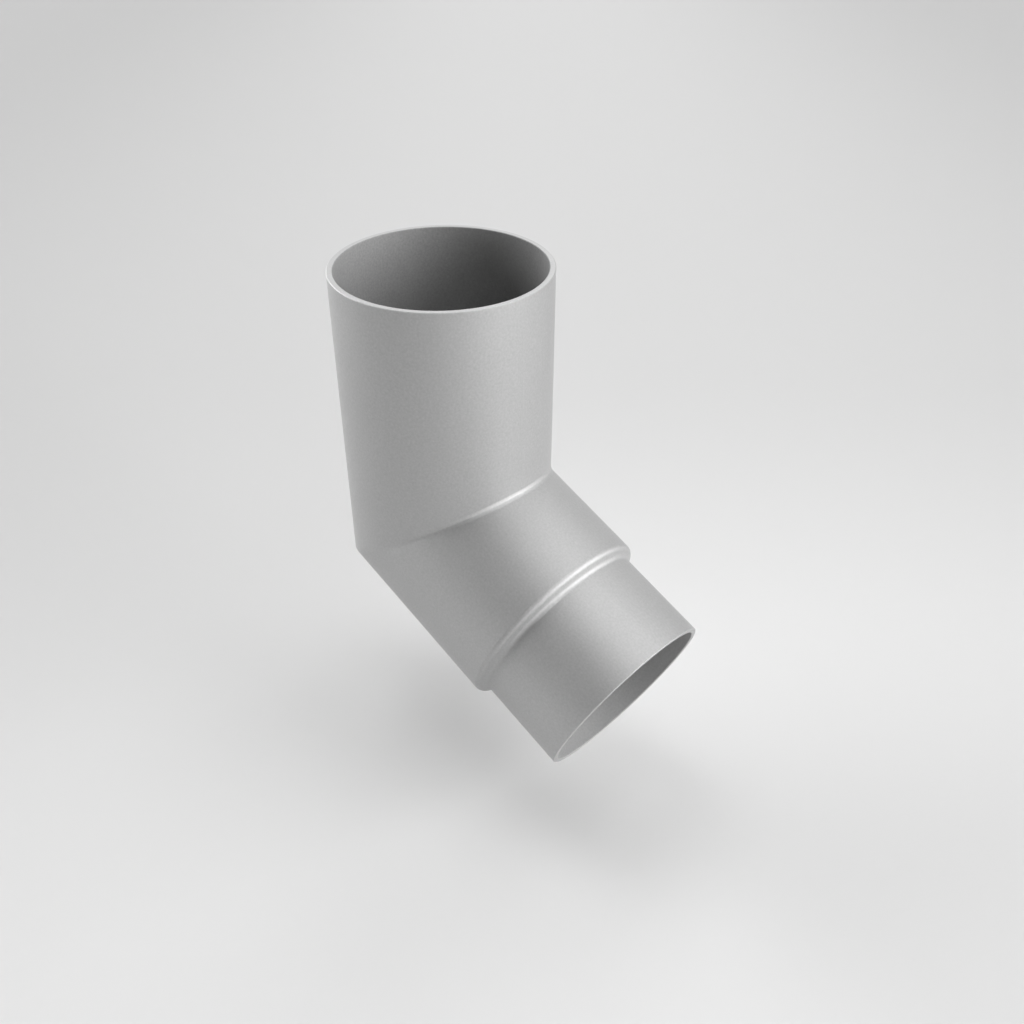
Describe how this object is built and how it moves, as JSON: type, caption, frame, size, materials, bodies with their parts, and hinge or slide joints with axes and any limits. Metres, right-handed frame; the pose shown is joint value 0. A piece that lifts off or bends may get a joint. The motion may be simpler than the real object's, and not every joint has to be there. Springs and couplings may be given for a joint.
{
  "type": "downspout elbow",
  "caption": "Mitred elbow that turns a round downpipe: plain socket on top, small-radius oblique mitre, and a stepped-down spigot at the outlet.",
  "frame": {"origin": "centre of the socket's mouth, in the plane of its rim", "axes": "+Z along the socket's axis, out of its mouth; +X towards the side that the outlet leans to; +Y across the plane of the bend"},
  "size_m": [0.1898, 0.102, 0.2246],
  "materials": {
    "elbow_body": "satin silver grey with a fine metallic grain"
  },
  "bodies": {
    "root": {"elbow_body": "elbow_body"}
  },
  "joints": []
}
